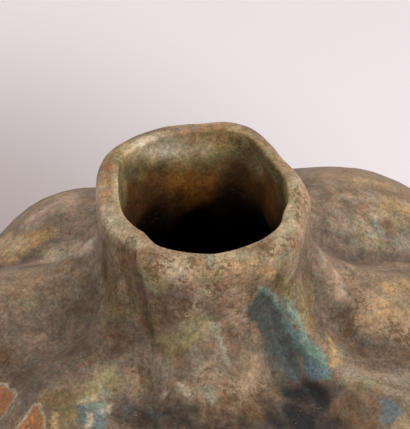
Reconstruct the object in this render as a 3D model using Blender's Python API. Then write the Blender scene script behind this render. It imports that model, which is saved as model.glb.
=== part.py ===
"""Gourd vase in stoneware: a round body of eight uneven, leaning ribs under a short, roughly squared neck.

Built as a potter builds it, from five pieces of clay luted together with slip: a foot ring, a floor slab,
a lower bowl, a shoulder shell and a neck collar. Metres, +Z up, origin at the middle of the foot on its
resting face.
"""

import math

import bmesh
import bpy
from mathutils import Vector
from mathutils.geometry import interpolate_bezier

# The foot ring, which is the only bare clay.
FOOT_RADIUS = 0.052
FOOT_WIDTH = 0.011
FOOT_HEIGHT = 0.008
FOOT_FLARE = 0.0015
FOOT_ROUNDING = 0.0018

# The film of slip in every luted joint.
SLIP_FILM = 0.0003

# The thrown form, on its outside, before the ribs are pushed out. It rises from the floor to the belly, the
# shoulder, the root of the neck and the lip.
FLOOR_MARGIN = 0.006
BELLY_RADIUS = 0.101
BELLY_RISE = 0.092
SHOULDER_RADIUS = 0.060
SHOULDER_RISE = 0.0585
SHOULDER_SLOPE = math.radians(13)
NECK_RADIUS = 0.0305
FLARE_RISE = 0.026
NECK_RISE = 0.012

FLOOR_RADIUS = FOOT_RADIUS + FLOOR_MARGIN
FLOOR_HEIGHT = FOOT_HEIGHT + SLIP_FILM
BELLY_HEIGHT = FLOOR_HEIGHT + BELLY_RISE
SHOULDER_HEIGHT = BELLY_HEIGHT + SHOULDER_RISE
NECK_ROOT_HEIGHT = SHOULDER_HEIGHT + FLARE_RISE
LIP_HEIGHT = NECK_ROOT_HEIGHT + NECK_RISE

# How fully the form swells between those places.
UNDERCUT_SWELL = 0.024
BOWL_SWELL = 0.050
BELLY_SWELL = 0.036
SHOULDER_SWELL = 0.021
FLARE_SWELL = 0.019
NECK_SWELL = 0.012

# The wall, which thins from the floor to the lip but is left thicker where the neck meets the shoulder. The
# throat swells in over its depth below the lip, and the swelling dies out again over as much below that.
FLOOR_THICKNESS = 0.009
LIP_THICKNESS = 0.0064
THROAT_SWELL = 0.005
THROAT_DEPTH = 0.030

# The luted joints: a V ridge on the piece above seats in a V groove in the piece below. The ridge's half
# width is a share of the wall. The collar's joint lies a skirt's length down its flare.
KEY_DEPTH = 0.0015
KEY_HALF_WIDTH = 0.28
COLLAR_SKIRT = 0.013

# The valleys pressed between the ribs, which aren't evenly spaced, and how full the rib after each one is. A
# valley sinks into the thrown form, and a rib's crest stands out of it, a wide rib's more than a narrow
# one's. Ribs grow down from the neck and fade out again towards the foot.
VALLEYS = tuple(math.radians(angle) for angle in (20, 82, 118, 162, 206, 245, 303, 332))
RIB_FULLNESS = (0.95, 1.0, 0.6, 1.1, 0.85, 0.9, 1.0, 1.1)
VALLEY_DEPTH = 0.005
RIB_RELIEF = 0.0095
RIB_RAMP = 0.060
RIB_FADE = 0.072

# A rib's crest lies at a share of its width, and a valley's sides rise with a power that is low for a crease.
# Both ease over a length below the lip, from their values at the neck to those of the body.
NECK_LEAN = 0.36
BODY_LEAN = 0.44
NECK_CREASE = 0.9
BODY_CREASE = 1.6
CREASE_FADE = 0.055

# The neck's plan, which hands have squared and dented: its reach from its own middle at each of these turns.
# It fades out over a length below the lip.
NECK_TURNS = tuple(math.radians(angle) for angle in (31, 74, 95, 138, 185, 227, 245, 320, 340))
NECK_REACHES = (0.0305, 0.0375, 0.0350, 0.0360, 0.0320, 0.0330, 0.0367, 0.0352, 0.0326)
CORNER_FADE = 0.060

# The lip's top slants outwards, and the slant dies out over a length below it.
LIP_SLANT = 0.34
LIP_SLANT_FADE = 0.010

# How far the neck stands off the middle of the foot, along X, and how far below the lip that ends.
NECK_OFFSET = -0.006
NECK_OFFSET_FADE = 0.110

# How finely the pieces are turned, and the steps of faces up each one's outside and inside.
TURN_STEPS = 72
PATH_STEPS = 32
FLOOR_STEPS = (2, 2)
BOWL_STEPS = (14, 8)
SHOULDER_STEPS = (18, 11)
COLLAR_STEPS = (8, 5)
LIP_STEPS = 6
SHARP_ANGLE = math.radians(40)
ON_AXIS = 1e-7
SAME_PLACE = 1e-6


def smooth_step(low, high, value):
    """0 below low and 1 above high, with a smooth ramp between them."""
    share = min(max((value - low) / (high - low), 0.0), 1.0)
    return share * share * (3 - 2 * share)


class Wall:
    """The pot's wall. A place in it is a distance up the outside and a share of the way in, from 0 to 1."""

    def __init__(self):
        self.path, ends = self.outside_path()
        self.run = [0.0]
        for before, after in zip(self.path, self.path[1:]):
            self.run.append(self.run[-1] + (after - before).length)
        self.floor_edge, self.belly, _, neck_root, self.lip = (self.run[end] for end in ends)
        self.collar_joint = neck_root - COLLAR_SKIRT

    @staticmethod
    def outside_path():
        """The thrown outside as points (radius, height), from the floor's centre up, and its corners."""
        centre = Vector((0, FLOOR_HEIGHT))
        floor_edge = Vector((FLOOR_RADIUS, FLOOR_HEIGHT))
        belly = Vector((BELLY_RADIUS, BELLY_HEIGHT))
        shoulder = Vector((SHOULDER_RADIUS, SHOULDER_HEIGHT))
        neck_root = Vector((NECK_RADIUS, NECK_ROOT_HEIGHT))
        lip = Vector((NECK_RADIUS, LIP_HEIGHT))
        out = Vector((1, 0))
        up = Vector((0, 1))
        inwards = Vector((-math.cos(SHOULDER_SLOPE), math.sin(SHOULDER_SLOPE)))
        spans = (
            (centre, centre.lerp(floor_edge, 1 / 3), centre.lerp(floor_edge, 2 / 3), floor_edge),
            (floor_edge, floor_edge + out * UNDERCUT_SWELL, belly - up * BOWL_SWELL, belly),
            (belly, belly + up * BELLY_SWELL, shoulder - inwards * SHOULDER_SWELL, shoulder),
            (shoulder, shoulder + inwards * FLARE_SWELL, neck_root - up * NECK_SWELL, neck_root),
            (neck_root, neck_root.lerp(lip, 1 / 3), neck_root.lerp(lip, 2 / 3), lip),
        )
        path = [centre]
        ends = []
        for start, handle, other_handle, end in spans:
            curve = interpolate_bezier(start, handle, other_handle, end, PATH_STEPS)
            path += [point.to_2d() for point in curve[1:]]
            ends.append(len(path) - 1)
        return path, ends

    def normal(self, index):
        """The outward normal at a path point, from its neighbours."""
        before = self.path[max(index - 1, 0)]
        after = self.path[min(index + 1, len(self.path) - 1)]
        along = (after - before).normalized()
        return Vector((along.y, -along.x))

    def thickness(self, distance):
        drop = self.lip - distance
        throat = smooth_step(0, THROAT_DEPTH, drop) * (1 - smooth_step(THROAT_DEPTH, 2 * THROAT_DEPTH, drop))
        taper = (LIP_THICKNESS - FLOOR_THICKNESS) * distance / self.lip
        return FLOOR_THICKNESS + taper + THROAT_SWELL * throat

    def place(self, distance, through):
        """(radius, height) of a place in the wall."""
        index = next((i for i, run in enumerate(self.run[1:], 1) if run >= distance), len(self.run) - 1)
        share = (distance - self.run[index - 1]) / (self.run[index] - self.run[index - 1])
        outside = self.path[index - 1].lerp(self.path[index], share)
        outward = self.normal(index - 1).lerp(self.normal(index), share).normalized()
        place = outside - outward * self.thickness(distance) * through
        return Vector((max(place.x, 0.0), place.y))

    def faces_between(self, low, high, steps):
        """The outside going up from low to high and the inside coming down again, each with both its ends."""
        outer_steps, inner_steps = steps
        rise = high - low
        going_up = [self.place(low + rise * step / outer_steps, 0) for step in range(outer_steps + 1)]
        coming_down = [self.place(high - rise * step / inner_steps, 1) for step in range(inner_steps + 1)]
        return going_up, coming_down

    def joint_face(self, distance):
        """The keyed face of a joint, from outside to inside. Its middle points down, into the piece below."""
        keys = ((0.5 - KEY_HALF_WIDTH, 0), (0.5, KEY_DEPTH), (0.5 + KEY_HALF_WIDTH, 0))
        return [self.place(distance - key, through) for through, key in keys]


def station(azimuth, turns):
    """The last turn that an azimuth has passed, the share of the way to the next, and the whole way."""
    turn = (azimuth - turns[0]) % math.tau + turns[0]
    index = sum(turn >= start for start in turns) - 1
    end = turns[index + 1] if index + 1 < len(turns) else turns[0] + math.tau
    width = end - turns[index]
    return index, (turn - turns[index]) / width, width


def rib_push(azimuth, easing):
    """How far the ribs stand out at an azimuth. Their form eases from the neck's at 0 to the body's at 1."""
    index, share, width = station(azimuth, VALLEYS)
    fullness = RIB_FULLNESS[index] * math.sqrt(width * len(VALLEYS) / math.tau)
    lean = NECK_LEAN + (BODY_LEAN - NECK_LEAN) * easing
    crease = NECK_CREASE + (BODY_CREASE - NECK_CREASE) * easing
    leaning = share ** (math.log(0.5) / math.log(lean))
    return RIB_RELIEF * fullness * math.sin(math.pi * leaning) ** crease - VALLEY_DEPTH


def neck_stretch(azimuth):
    """How many times its thrown radius the neck reaches at an azimuth."""
    index, share, _ = station(azimuth, NECK_TURNS)
    following = NECK_REACHES[(index + 1) % len(NECK_REACHES)]
    reach = NECK_REACHES[index] + (following - NECK_REACHES[index]) * smooth_step(0, 1, share)
    return reach / NECK_RADIUS


def pushed(point):
    """Where the potter's hands leave a point of the thrown form: squared at the neck, ribbed below."""
    radius = math.hypot(point.x, point.y)
    if radius < ON_AXIS:
        return point
    azimuth = math.atan2(point.y, point.x)
    below_lip = LIP_HEIGHT - point.z + max(radius - NECK_RADIUS, 0)
    slant = LIP_SLANT * (1 - smooth_step(0, LIP_SLANT_FADE, below_lip))
    height = point.z - slant * (radius - NECK_RADIUS + LIP_THICKNESS / 2)
    stretch = 1 + (neck_stretch(azimuth) - 1) * (1 - smooth_step(0, CORNER_FADE, below_lip))
    outward = Vector((radius * stretch, height - BELLY_HEIGHT)).normalized()
    push = rib_push(azimuth, smooth_step(0, CREASE_FADE, below_lip))
    push *= smooth_step(0, RIB_RAMP, below_lip) * smooth_step(0, RIB_FADE, point.z - FLOOR_HEIGHT)
    reach = radius * stretch + outward.x * push
    offset = NECK_OFFSET * (1 - smooth_step(0, NECK_OFFSET_FADE, below_lip))
    return Vector((reach * math.cos(azimuth) + offset, reach * math.sin(azimuth), height + outward.y * push))


def spun(outline):
    """A mesh turned about Z from a closed outline of (radius, height) points."""
    mesh = bmesh.new()
    verts = [mesh.verts.new((point[0], 0, point[1])) for point in outline]
    for before, after in zip(verts, verts[1:] + verts[:1]):
        if max(before.co.x, after.co.x) > ON_AXIS:
            mesh.edges.new((before, after))
    bmesh.ops.spin(
        mesh,
        geom=mesh.verts[:] + mesh.edges[:],
        cent=(0, 0, 0),
        axis=(0, 0, 1),
        angle=math.tau,
        steps=TURN_STEPS,
        use_merge=True,
    )
    bmesh.ops.remove_doubles(mesh, verts=mesh.verts, dist=SAME_PLACE)
    bmesh.ops.recalc_face_normals(mesh, faces=mesh.faces)
    return mesh


def finish(name, mesh, material):
    """Makes the mesh an object with smooth shading over its curves."""
    data = bpy.data.meshes.new(name)
    mesh.to_mesh(data)
    mesh.free()
    data.materials.append(material)
    data.shade_smooth()
    data.set_sharp_from_angle(angle=SHARP_ANGLE)
    piece = bpy.data.objects.new(name, data)
    bpy.context.scene.collection.objects.link(piece)


def wall_piece(name, outline, material):
    """A piece of the wall, turned and then pushed into ribs and corners."""
    mesh = spun(outline)
    for vert in mesh.verts:
        vert.co = pushed(vert.co)
    finish(name, mesh, material)


def clay_material(name, colour, roughness):
    material = bpy.data.materials.new(name)
    material.use_nodes = True
    shader = material.node_tree.nodes["Principled BSDF"]
    shader.inputs["Base Color"].default_value = (*colour, 1)
    shader.inputs["Roughness"].default_value = roughness
    shader.inputs["Metallic"].default_value = 0
    return material


def make_foot_ring(material):
    """A trimmed ring, a little wider where it is luted to the floor, with rounded edges below."""
    inner = FOOT_RADIUS - FOOT_WIDTH
    outline = [
        (FOOT_RADIUS - FOOT_ROUNDING, 0),
        (FOOT_RADIUS, FOOT_ROUNDING),
        (FOOT_RADIUS + FOOT_FLARE, FOOT_HEIGHT),
        (inner - FOOT_FLARE, FOOT_HEIGHT),
        (inner, FOOT_ROUNDING),
        (inner + FOOT_ROUNDING, 0),
    ]
    finish("foot_ring", spun(outline), material)


def make_base_slab(wall, material):
    """The round floor. Its edge is grooved for the lower bowl."""
    edge = wall.floor_edge - SLIP_FILM / 2
    below, above = wall.faces_between(0, edge, FLOOR_STEPS)
    wall_piece("base_slab", below + wall.joint_face(edge) + above, material)


def make_wall_ring(name, wall, start, end, steps, material):
    """A ring of wall between two keyed joints."""
    low = start + SLIP_FILM / 2
    high = end - SLIP_FILM / 2
    outside, inside = wall.faces_between(low, high, steps)
    outline = outside + wall.joint_face(high) + inside + wall.joint_face(low)[::-1]
    wall_piece(name, outline, material)


def make_neck_collar(wall, material):
    """The neck, which ends in a lip rounded to half a circle."""
    low = wall.collar_joint + SLIP_FILM / 2
    outside, inside = wall.faces_between(low, wall.lip, COLLAR_STEPS)
    middle = wall.place(wall.lip, 0.5)
    bend = wall.thickness(wall.lip) / 2
    turns = [math.pi * step / LIP_STEPS for step in range(1, LIP_STEPS)]
    lip = [middle + Vector((math.cos(turn), math.sin(turn))) * bend for turn in turns]
    wall_piece("neck_collar", outside + lip + inside + wall.joint_face(low)[::-1], material)


def main():
    for item in list(bpy.data.objects):
        bpy.data.objects.remove(item)
    wall = Wall()
    glaze = clay_material("matt_glaze", (0.30, 0.22, 0.15), 0.55)
    bare_clay = clay_material("bare_stoneware", (0.42, 0.27, 0.17), 0.85)
    make_foot_ring(bare_clay)
    make_base_slab(wall, glaze)
    make_wall_ring("lower_bowl", wall, wall.floor_edge, wall.belly, BOWL_STEPS, glaze)
    make_wall_ring("shoulder_shell", wall, wall.belly, wall.collar_joint, SHOULDER_STEPS, glaze)
    make_neck_collar(wall, glaze)


main()
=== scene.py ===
"""Gourd vase: its glazed body, bare foot and studio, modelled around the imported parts.

Laid out as a Blender add-on and run as a script. Metres, +Z up, the camera's side is -Y.
"""

import math
import random
from collections import namedtuple

import bmesh
import bpy
import numpy
from bpy.props import FloatProperty, FloatVectorProperty, IntProperty, PointerProperty
from mathutils import Euler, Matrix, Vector, noise
from mathutils.bvhtree import BVHTree
from mathutils.geometry import interpolate_bezier


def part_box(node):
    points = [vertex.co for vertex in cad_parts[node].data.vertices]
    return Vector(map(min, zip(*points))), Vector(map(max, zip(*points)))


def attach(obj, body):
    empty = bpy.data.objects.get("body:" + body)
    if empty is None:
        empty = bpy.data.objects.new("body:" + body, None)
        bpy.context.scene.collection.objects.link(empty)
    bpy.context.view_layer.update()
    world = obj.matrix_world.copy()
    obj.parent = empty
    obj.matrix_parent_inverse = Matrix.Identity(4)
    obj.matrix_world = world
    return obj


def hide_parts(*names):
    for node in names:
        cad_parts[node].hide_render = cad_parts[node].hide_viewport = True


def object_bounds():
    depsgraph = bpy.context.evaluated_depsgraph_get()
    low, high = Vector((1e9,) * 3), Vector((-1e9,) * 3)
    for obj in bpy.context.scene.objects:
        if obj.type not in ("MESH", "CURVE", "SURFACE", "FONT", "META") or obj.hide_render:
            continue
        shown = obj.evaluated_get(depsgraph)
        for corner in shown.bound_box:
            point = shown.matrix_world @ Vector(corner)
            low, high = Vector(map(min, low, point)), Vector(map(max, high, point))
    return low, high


bl_info = {
    "name": "Gourd Vase",
    "version": (1, 0, 0),
    "blender": (4, 5, 0),
    "location": "3D View > Sidebar > Gourd Vase",
    "description": "Models and glazes a ribbed gourd vase around its packed parts",
    "category": "Object",
}

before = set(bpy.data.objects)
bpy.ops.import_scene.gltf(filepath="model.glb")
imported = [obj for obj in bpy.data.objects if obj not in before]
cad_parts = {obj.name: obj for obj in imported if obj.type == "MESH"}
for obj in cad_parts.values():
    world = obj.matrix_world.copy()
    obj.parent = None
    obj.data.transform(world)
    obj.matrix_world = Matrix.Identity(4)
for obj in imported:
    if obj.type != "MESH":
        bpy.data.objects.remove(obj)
CAD_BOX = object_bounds()
MM = 0.001

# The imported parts' sizes that the frame gives.
FOOT_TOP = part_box("foot_ring")[1]
FOOT_HEIGHT = FOOT_TOP.z
FLOOR_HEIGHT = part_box("base_slab")[0].z

# The thrown form on its outside, rising from the floor to the belly, shoulder, neck root and lip.
FLOOR_RADIUS = 0.058
BELLY_RADIUS = 0.101
BELLY_RISE = 0.092
SHOULDER_RADIUS = 0.060
SHOULDER_RISE = 0.0585
SHOULDER_SLOPE = math.radians(13)
NECK_RADIUS = 0.0305
FLARE_RISE = 0.026
NECK_RISE = 0.012
FLOOR_THICKNESS = 0.009
LIP_THICKNESS = 0.0064
THROAT_SWELL = 0.005
THROAT_DEPTH = 0.030
BELLY_HEIGHT = FLOOR_HEIGHT + BELLY_RISE
SHOULDER_HEIGHT = BELLY_HEIGHT + SHOULDER_RISE
NECK_ROOT_HEIGHT = SHOULDER_HEIGHT + FLARE_RISE
LIP_HEIGHT = NECK_ROOT_HEIGHT + NECK_RISE

# How fully the form swells between those places.
UNDERCUT_SWELL = 0.024
BOWL_SWELL = 0.050
BELLY_SWELL = 0.036
SHOULDER_SWELL = 0.021
FLARE_SWELL = 0.019
NECK_SWELL = 0.012

# The valleys between the ribs and how full the rib after each one is. A rib's crest lies at a share of its
# width, and a valley's sides rise with a power: both ease from the neck's values to the body's.
VALLEYS = tuple(math.radians(angle) for angle in (20, 82, 118, 162, 206, 245, 303, 332))
RIB_FULLNESS = (0.95, 1.0, 0.6, 1.1, 0.85, 0.9, 1.0, 1.1)
RIB_RAMP = 0.060
RIB_FADE = 0.072
NECK_LEAN = 0.36
BODY_LEAN = 0.44
NECK_CREASE = 0.9
BODY_CREASE = 1.6
CREASE_FADE = 0.055

# The neck's reach from its own middle at each turn, the slant of its lip, and how far it stands off the foot.
NECK_TURNS = tuple(math.radians(angle) for angle in (31, 74, 95, 138, 185, 227, 245, 320, 340))
NECK_REACHES = (0.0305, 0.0375, 0.0350, 0.0360, 0.0320, 0.0330, 0.0367, 0.0352, 0.0326)
CORNER_FADE = 0.060
LIP_SLANT = 0.34
LIP_SLANT_FADE = 0.010
NECK_OFFSET = -0.006
NECK_OFFSET_FADE = 0.110

# The lip's section: fuller towards the inside, where its edge is crisp, and a little flattened on top.
LIP_OUTER_POWER = 2.1
LIP_INNER_POWER = 3.2
LIP_FLATNESS = 0.95

# How finely the body is made: rows up its outside, over its lip and down its inside.
PATH_STEPS = 64
UNDERSIDE_ROWS = 8
BELLY_ROWS = 56
SHOULDER_ROWS = 112
SHOULDER_LENGTH = 0.090
LIP_ROWS = 22
THROAT_ROWS = 34
THROAT_LENGTH = 0.050
INNER_ROWS = 40

# A radius that counts as the axis, and a distance that counts as none.
ON_AXIS = 1e-7
SAME_PLACE = 1e-6

# The foot's section: its radii on the ground, the bend of its edges, the share of its flare that it has at
# its waist's height, and how far it stands into the body's floor, so that no gap shows.
FOOT_OUTER = 52 * MM
FOOT_INNER = 41 * MM
FOOT_BEND = 1.8 * MM
BEND_STEPS = 6
WAIST_FLARE = 0.4
WAIST_HEIGHT = 0.6 * FOOT_HEIGHT
FOOT_OVERLAP = 0.4 * MM

# What hands leave in the clay: broad pinches with thumb marks as a share of them, and smaller dabs, each with
# its waves per metre. All relief fades in above the floor, and a thick glaze rises across its edge.
PINCH_WAVES = 38
THUMB_WAVES = 90
DAB_WAVES = 230
PINCH_STRENGTH = 0.6
THUMB_SHARE = 0.5
DAB_STRENGTH = 0.16
RELIEF_FADE = 12 * MM
THICK_EDGE = (-0.8 * MM, 1.2 * MM)

# The photograph's frame in pixels, the pixel that shows the middle of the lip, and what a pixel spans there.
# A pixel that shows none of the body stands for one that does, within a few pixels below it.
# Marks are wider on the clay than in the photograph, because the clay slants away from the camera.
FRAME_WIDE = 410
FRAME_HIGH = 429
LIP_PIXEL = (203, 197)
PIXEL = 0.3 * MM
SEARCH_PIXELS = 24
MARK_SPREAD = 1.3

# How the marks' edges wander: waves per metre with their reach in mm, and shifts that make a vector of one
# noise. The material reads how far a point is from an edge up to a reach, and FAR is well past it.
WANDERS = ((80, 1.6), (260, 0.9))
WANDER_SHIFTS = (0, 31.7, 67.3)
EDGE_REACH = 9 * MM
FAR = 4 * EDGE_REACH

# Clouds in the ground colours and breaks in the washes, in waves per metre. A wash covers so much, give or
# take its breaks. Where there are no ribs, the ground is coloured as between a valley and a crest.
CLOUD_WAVES = 120
BREAK_WAVES = 420
WASH_COVER = 0.92
WASH_BREAKS = 0.6
PLAIN_CREST = 0.5

# The glaze's tone grows evener from one depth behind the neck to another. Its lower end wanders, stretched
# along its flow, and fades out from one height above the floor's edge to another.
EVEN_DEPTHS = (0.035, 0.060)
EVENNESS = 0.5
GLAZE_END_WANDER = 9 * MM
GLAZE_END_FLOW = (34.0, 34.0, 90.0)
GLAZE_END_FADE = (2 * MM, 1.2 * MM)

# The range that a material's noise mostly keeps to.
NOISE_RANGE = (0.3, 0.7)

# The studio: the paper's size, the painted soft shadow on it behind the vase's left side, the lamp and
# the tint of the even light.
PAPER_RADIUS = 6.0
PAPER_SIDES = 96
PAINTED_SHADOW_MIDDLE = (-0.13, 0.17, 0)
PAINTED_SHADOW_REACH = (0.03, 0.24)
PAINTED_SHADOW_TINT = (0.48, 0.44, 0.42)
KEY_PLACE = (0.42, -0.22, 1.05)
KEY_AIM = (0, 0, 0.13)
KEY_SIZE = 0.7
KEY_TINT = (1.0, 0.97, 0.94)
FILL_TINT = (1.0, 0.98, 0.97)


def smooth_step(low, high, value):
    """0 below low and 1 above high, with a smooth ramp between them."""
    share = min(max((value - low) / (high - low), 0.0), 1.0)
    return share * share * (3 - 2 * share)


def smooth_steps(low, high, values):
    """smooth_step for an array, falling instead where low is above high."""
    share = numpy.clip((values - low) / (high - low), 0, 1)
    return share * share * (3 - 2 * share)


class VaseForm(bpy.types.PropertyGroup):
    """Sizes that a potter would change from one vase to the next."""

    turn_steps: IntProperty(name="Turn Steps", description="Faces round the body", default=352, min=24)
    rib_relief: FloatProperty(
        name="Rib Relief",
        description="How far a rib's crest stands out of its valleys",
        default=9.5 * MM,
        unit="LENGTH",
    )
    valley_depth: FloatProperty(
        name="Valley Depth",
        description="How far a valley sinks into the thrown form",
        default=5 * MM,
        unit="LENGTH",
    )
    hand_marks: FloatProperty(
        name="Hand Marks",
        description="Depth of the soft unevenness that hands leave in the clay",
        default=0.9 * MM,
        unit="LENGTH",
    )
    glaze_depth: FloatProperty(
        name="Glaze Depth",
        description="How far a thick run of glaze stands proud",
        default=0.35 * MM,
        unit="LENGTH",
    )


def colour(name, description, value):
    return FloatVectorProperty(
        name=name, description=description, default=value, subtype="COLOR", size=3, min=0, max=1
    )


class VaseGlaze(bpy.types.PropertyGroup):
    """Colours of the glazes and the clay."""

    taupe: colour("Taupe", "Grey brown ground of the shoulders", (0.19, 0.14, 0.10))
    tan: colour("Tan", "Tan of the thin glaze on crests and neck", (0.36, 0.245, 0.15))
    rose: colour("Rose", "Pinkish brown of bare ridges", (0.33, 0.225, 0.16))
    blush: colour("Blush", "Pale pink of ridges that catch the light", (0.48, 0.35, 0.26))
    ash: colour("Ash", "Pale warm grey", (0.31, 0.26, 0.20))
    cream: colour("Cream", "Pale glaze that breaks over the lip", (0.50, 0.40, 0.28))
    ochre: colour("Ochre", "Golden yellow brown", (0.46, 0.30, 0.14))
    khaki: colour("Khaki", "Yellow green brown", (0.29, 0.235, 0.115))
    olive: colour("Olive", "Dark olive brown", (0.155, 0.115, 0.048))
    umber: colour("Umber", "Dark iron brown", (0.115, 0.064, 0.028))
    plum: colour("Plum", "Purplish grey brown", (0.110, 0.082, 0.066))
    rust: colour("Rust", "Orange brown where iron breaks through", (0.33, 0.15, 0.065))
    bloom: colour("Bloom", "Orange patch of bare clay low on the shoulder", (0.335, 0.135, 0.052))
    slate: colour("Slate", "Dark blue grey of the thick run", (0.058, 0.070, 0.062))
    teal: colour("Teal", "Blue green of the thick run", (0.085, 0.135, 0.120))
    turquoise: colour("Turquoise", "Bright edge of the thick run", (0.175, 0.250, 0.195))
    sea: colour("Sea", "Grey blue tail of the thick run", (0.120, 0.165, 0.185))
    blue: colour("Blue", "Grey blue cloud", (0.105, 0.115, 0.130))
    celadon: colour("Celadon", "Pale grey green", (0.275, 0.28, 0.195))
    charcoal: colour("Charcoal", "Near black pool", (0.012, 0.012, 0.013))
    night: colour("Night", "Blackish purple brown", (0.034, 0.025, 0.022))
    # Chalk is also laid as a painted highlight inside the lip, and in part on the left fold.
    chalk: colour("Chalk", "Pale mineral flecks", (0.66, 0.55, 0.42))
    amber: colour("Amber", "Orange brown glow inside", (0.30, 0.115, 0.022))
    # The inside's dark brown glaze, partly painted shade where it darkens with depth.
    throat: colour("Throat", "Dark brown inside", (0.085, 0.040, 0.013))
    # Painted shade: near black deep inside the neck.
    pitch: colour("Painted Deep Shade", "Blackish brown deep inside", (0.012, 0.006, 0.003))
    speckle: colour("Speckle", "Brown iron specks", (0.135, 0.068, 0.028))
    clay: colour("Clay", "Bare fired stoneware", (0.42, 0.27, 0.17))


class VaseStage(bpy.types.PropertyGroup):
    """The studio: floor, light and camera."""

    floor_colour: colour("Floor", "Pale paper under and behind the vase", (0.98, 0.91, 0.94))
    key_power: FloatProperty(name="Key Power", description="Power of the key lamp", default=6.6, unit="POWER")
    fill: FloatProperty(name="Fill", description="Strength of the even light from all round", default=0.56)
    elevation: FloatProperty(
        name="Elevation",
        description="Camera's angle above the horizon",
        default=math.radians(40),
        subtype="ANGLE",
    )
    distance: FloatProperty(
        name="Distance", description="From the camera to the lip", default=0.70, unit="LENGTH"
    )


class Wall:
    """The pot's wall, by distance up its outside and share of the way in, from 0 outside to 1 inside."""

    def __init__(self):
        self.path = self.outside_path()
        self.run = [0.0]
        for before, after in zip(self.path, self.path[1:]):
            self.run.append(self.run[-1] + (after - before).length)
        self.floor_edge = self.run[PATH_STEPS - 1]
        self.lip = self.run[-1]

    @staticmethod
    def outside_path():
        """The thrown outside as points (radius, height), the first PATH_STEPS of them under the floor."""
        centre = Vector((0, FLOOR_HEIGHT))
        floor_edge = Vector((FLOOR_RADIUS, FLOOR_HEIGHT))
        belly = Vector((BELLY_RADIUS, BELLY_HEIGHT))
        shoulder = Vector((SHOULDER_RADIUS, SHOULDER_HEIGHT))
        neck_root = Vector((NECK_RADIUS, NECK_ROOT_HEIGHT))
        lip = Vector((NECK_RADIUS, LIP_HEIGHT))
        out = Vector((1, 0))
        up = Vector((0, 1))
        inwards = Vector((-math.cos(SHOULDER_SLOPE), math.sin(SHOULDER_SLOPE)))
        spans = (
            (centre, centre.lerp(floor_edge, 1 / 3), centre.lerp(floor_edge, 2 / 3), floor_edge),
            (floor_edge, floor_edge + out * UNDERCUT_SWELL, belly - up * BOWL_SWELL, belly),
            (belly, belly + up * BELLY_SWELL, shoulder - inwards * SHOULDER_SWELL, shoulder),
            (shoulder, shoulder + inwards * FLARE_SWELL, neck_root - up * NECK_SWELL, neck_root),
            (neck_root, neck_root.lerp(lip, 1 / 3), neck_root.lerp(lip, 2 / 3), lip),
        )
        path = [centre]
        for start, handle, other_handle, end in spans:
            curve = interpolate_bezier(start, handle, other_handle, end, PATH_STEPS)
            path += [point.to_2d() for point in curve[1:]]
        return path

    def normal(self, index):
        """The outward normal at a path point, from its neighbours."""
        before = self.path[max(index - 1, 0)]
        after = self.path[min(index + 1, len(self.path) - 1)]
        along = (after - before).normalized()
        return Vector((along.y, -along.x))

    def thickness(self, distance):
        """The wall thins from the floor to the lip, but swells in the throat."""
        drop = self.lip - distance
        throat = smooth_step(0, THROAT_DEPTH, drop) * (1 - smooth_step(THROAT_DEPTH, 2 * THROAT_DEPTH, drop))
        taper = (LIP_THICKNESS - FLOOR_THICKNESS) * distance / self.lip
        return FLOOR_THICKNESS + taper + THROAT_SWELL * throat

    def place(self, distance, through):
        """(radius, height) of a place in the wall."""
        index = next((i for i, run in enumerate(self.run[1:], 1) if run >= distance), len(self.run) - 1)
        share = (distance - self.run[index - 1]) / (self.run[index] - self.run[index - 1])
        outside = self.path[index - 1].lerp(self.path[index], share)
        outward = self.normal(index - 1).lerp(self.normal(index), share).normalized()
        place = outside - outward * self.thickness(distance) * through
        return Vector((max(place.x, 0.0), place.y))

    def outline(self):
        """The whole section as (place, drop): up the outside, over the lip and down the inside to the axis.

        The drop is the distance from the lip's crest along the surface, above 0 outside and below 0 inside.
        """
        bend = self.thickness(self.lip) / 2
        arc = bend * math.pi / 2
        shoulder = self.lip - SHOULDER_LENGTH
        spans = (
            (0, self.floor_edge, UNDERSIDE_ROWS, 0),
            (self.floor_edge, shoulder, BELLY_ROWS, 0),
            (shoulder, self.lip, SHOULDER_ROWS, 0),
            (self.lip, self.lip - THROAT_LENGTH, THROAT_ROWS, 1),
            (self.lip - THROAT_LENGTH, 0, INNER_ROWS, 1),
        )
        rows = [(self.place(0, 0), self.lip + arc)]
        for start, end, count, through in spans:
            if start == self.lip:
                rows += self.lip_rows(bend)
            for step in range(1, count + 1):
                distance = start + (end - start) * step / count
                drop = self.lip - distance + arc
                rows.append((self.place(distance, through), -drop if through else drop))
        return rows

    def lip_rows(self, bend):
        """The lip's section, from just past its outer edge to its inner edge."""
        middle = self.place(self.lip, 0.5)
        rows = []
        for step in range(1, LIP_ROWS + 1):
            turn = math.pi * step / LIP_ROWS
            power = 2 / (LIP_OUTER_POWER if turn < math.pi / 2 else LIP_INNER_POWER)
            across = math.copysign(abs(math.cos(turn)) ** power, math.cos(turn))
            up = abs(math.sin(turn)) ** power * LIP_FLATNESS
            rows.append((middle + Vector((across, up)) * bend, bend * (math.pi / 2 - turn)))
        return rows


WALL = Wall()


def station(azimuth, turns):
    """The last turn that an azimuth has passed, the share of the way to the next, and the whole way."""
    turn = (azimuth - turns[0]) % math.tau + turns[0]
    index = sum(turn >= start for start in turns) - 1
    end = turns[index + 1] if index + 1 < len(turns) else turns[0] + math.tau
    width = end - turns[index]
    return index, (turn - turns[index]) / width, width


def rib_rise(azimuth, below_lip):
    """How far a rib has risen at an azimuth, from 0 in a valley to about 1 on a crest."""
    easing = smooth_step(0, CREASE_FADE, below_lip)
    index, share, width = station(azimuth, VALLEYS)
    fullness = RIB_FULLNESS[index] * math.sqrt(width * len(VALLEYS) / math.tau)
    lean = NECK_LEAN + (BODY_LEAN - NECK_LEAN) * easing
    crease = NECK_CREASE + (BODY_CREASE - NECK_CREASE) * easing
    leaning = share ** (math.log(0.5) / math.log(lean))
    return fullness * math.sin(math.pi * leaning) ** crease


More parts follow.
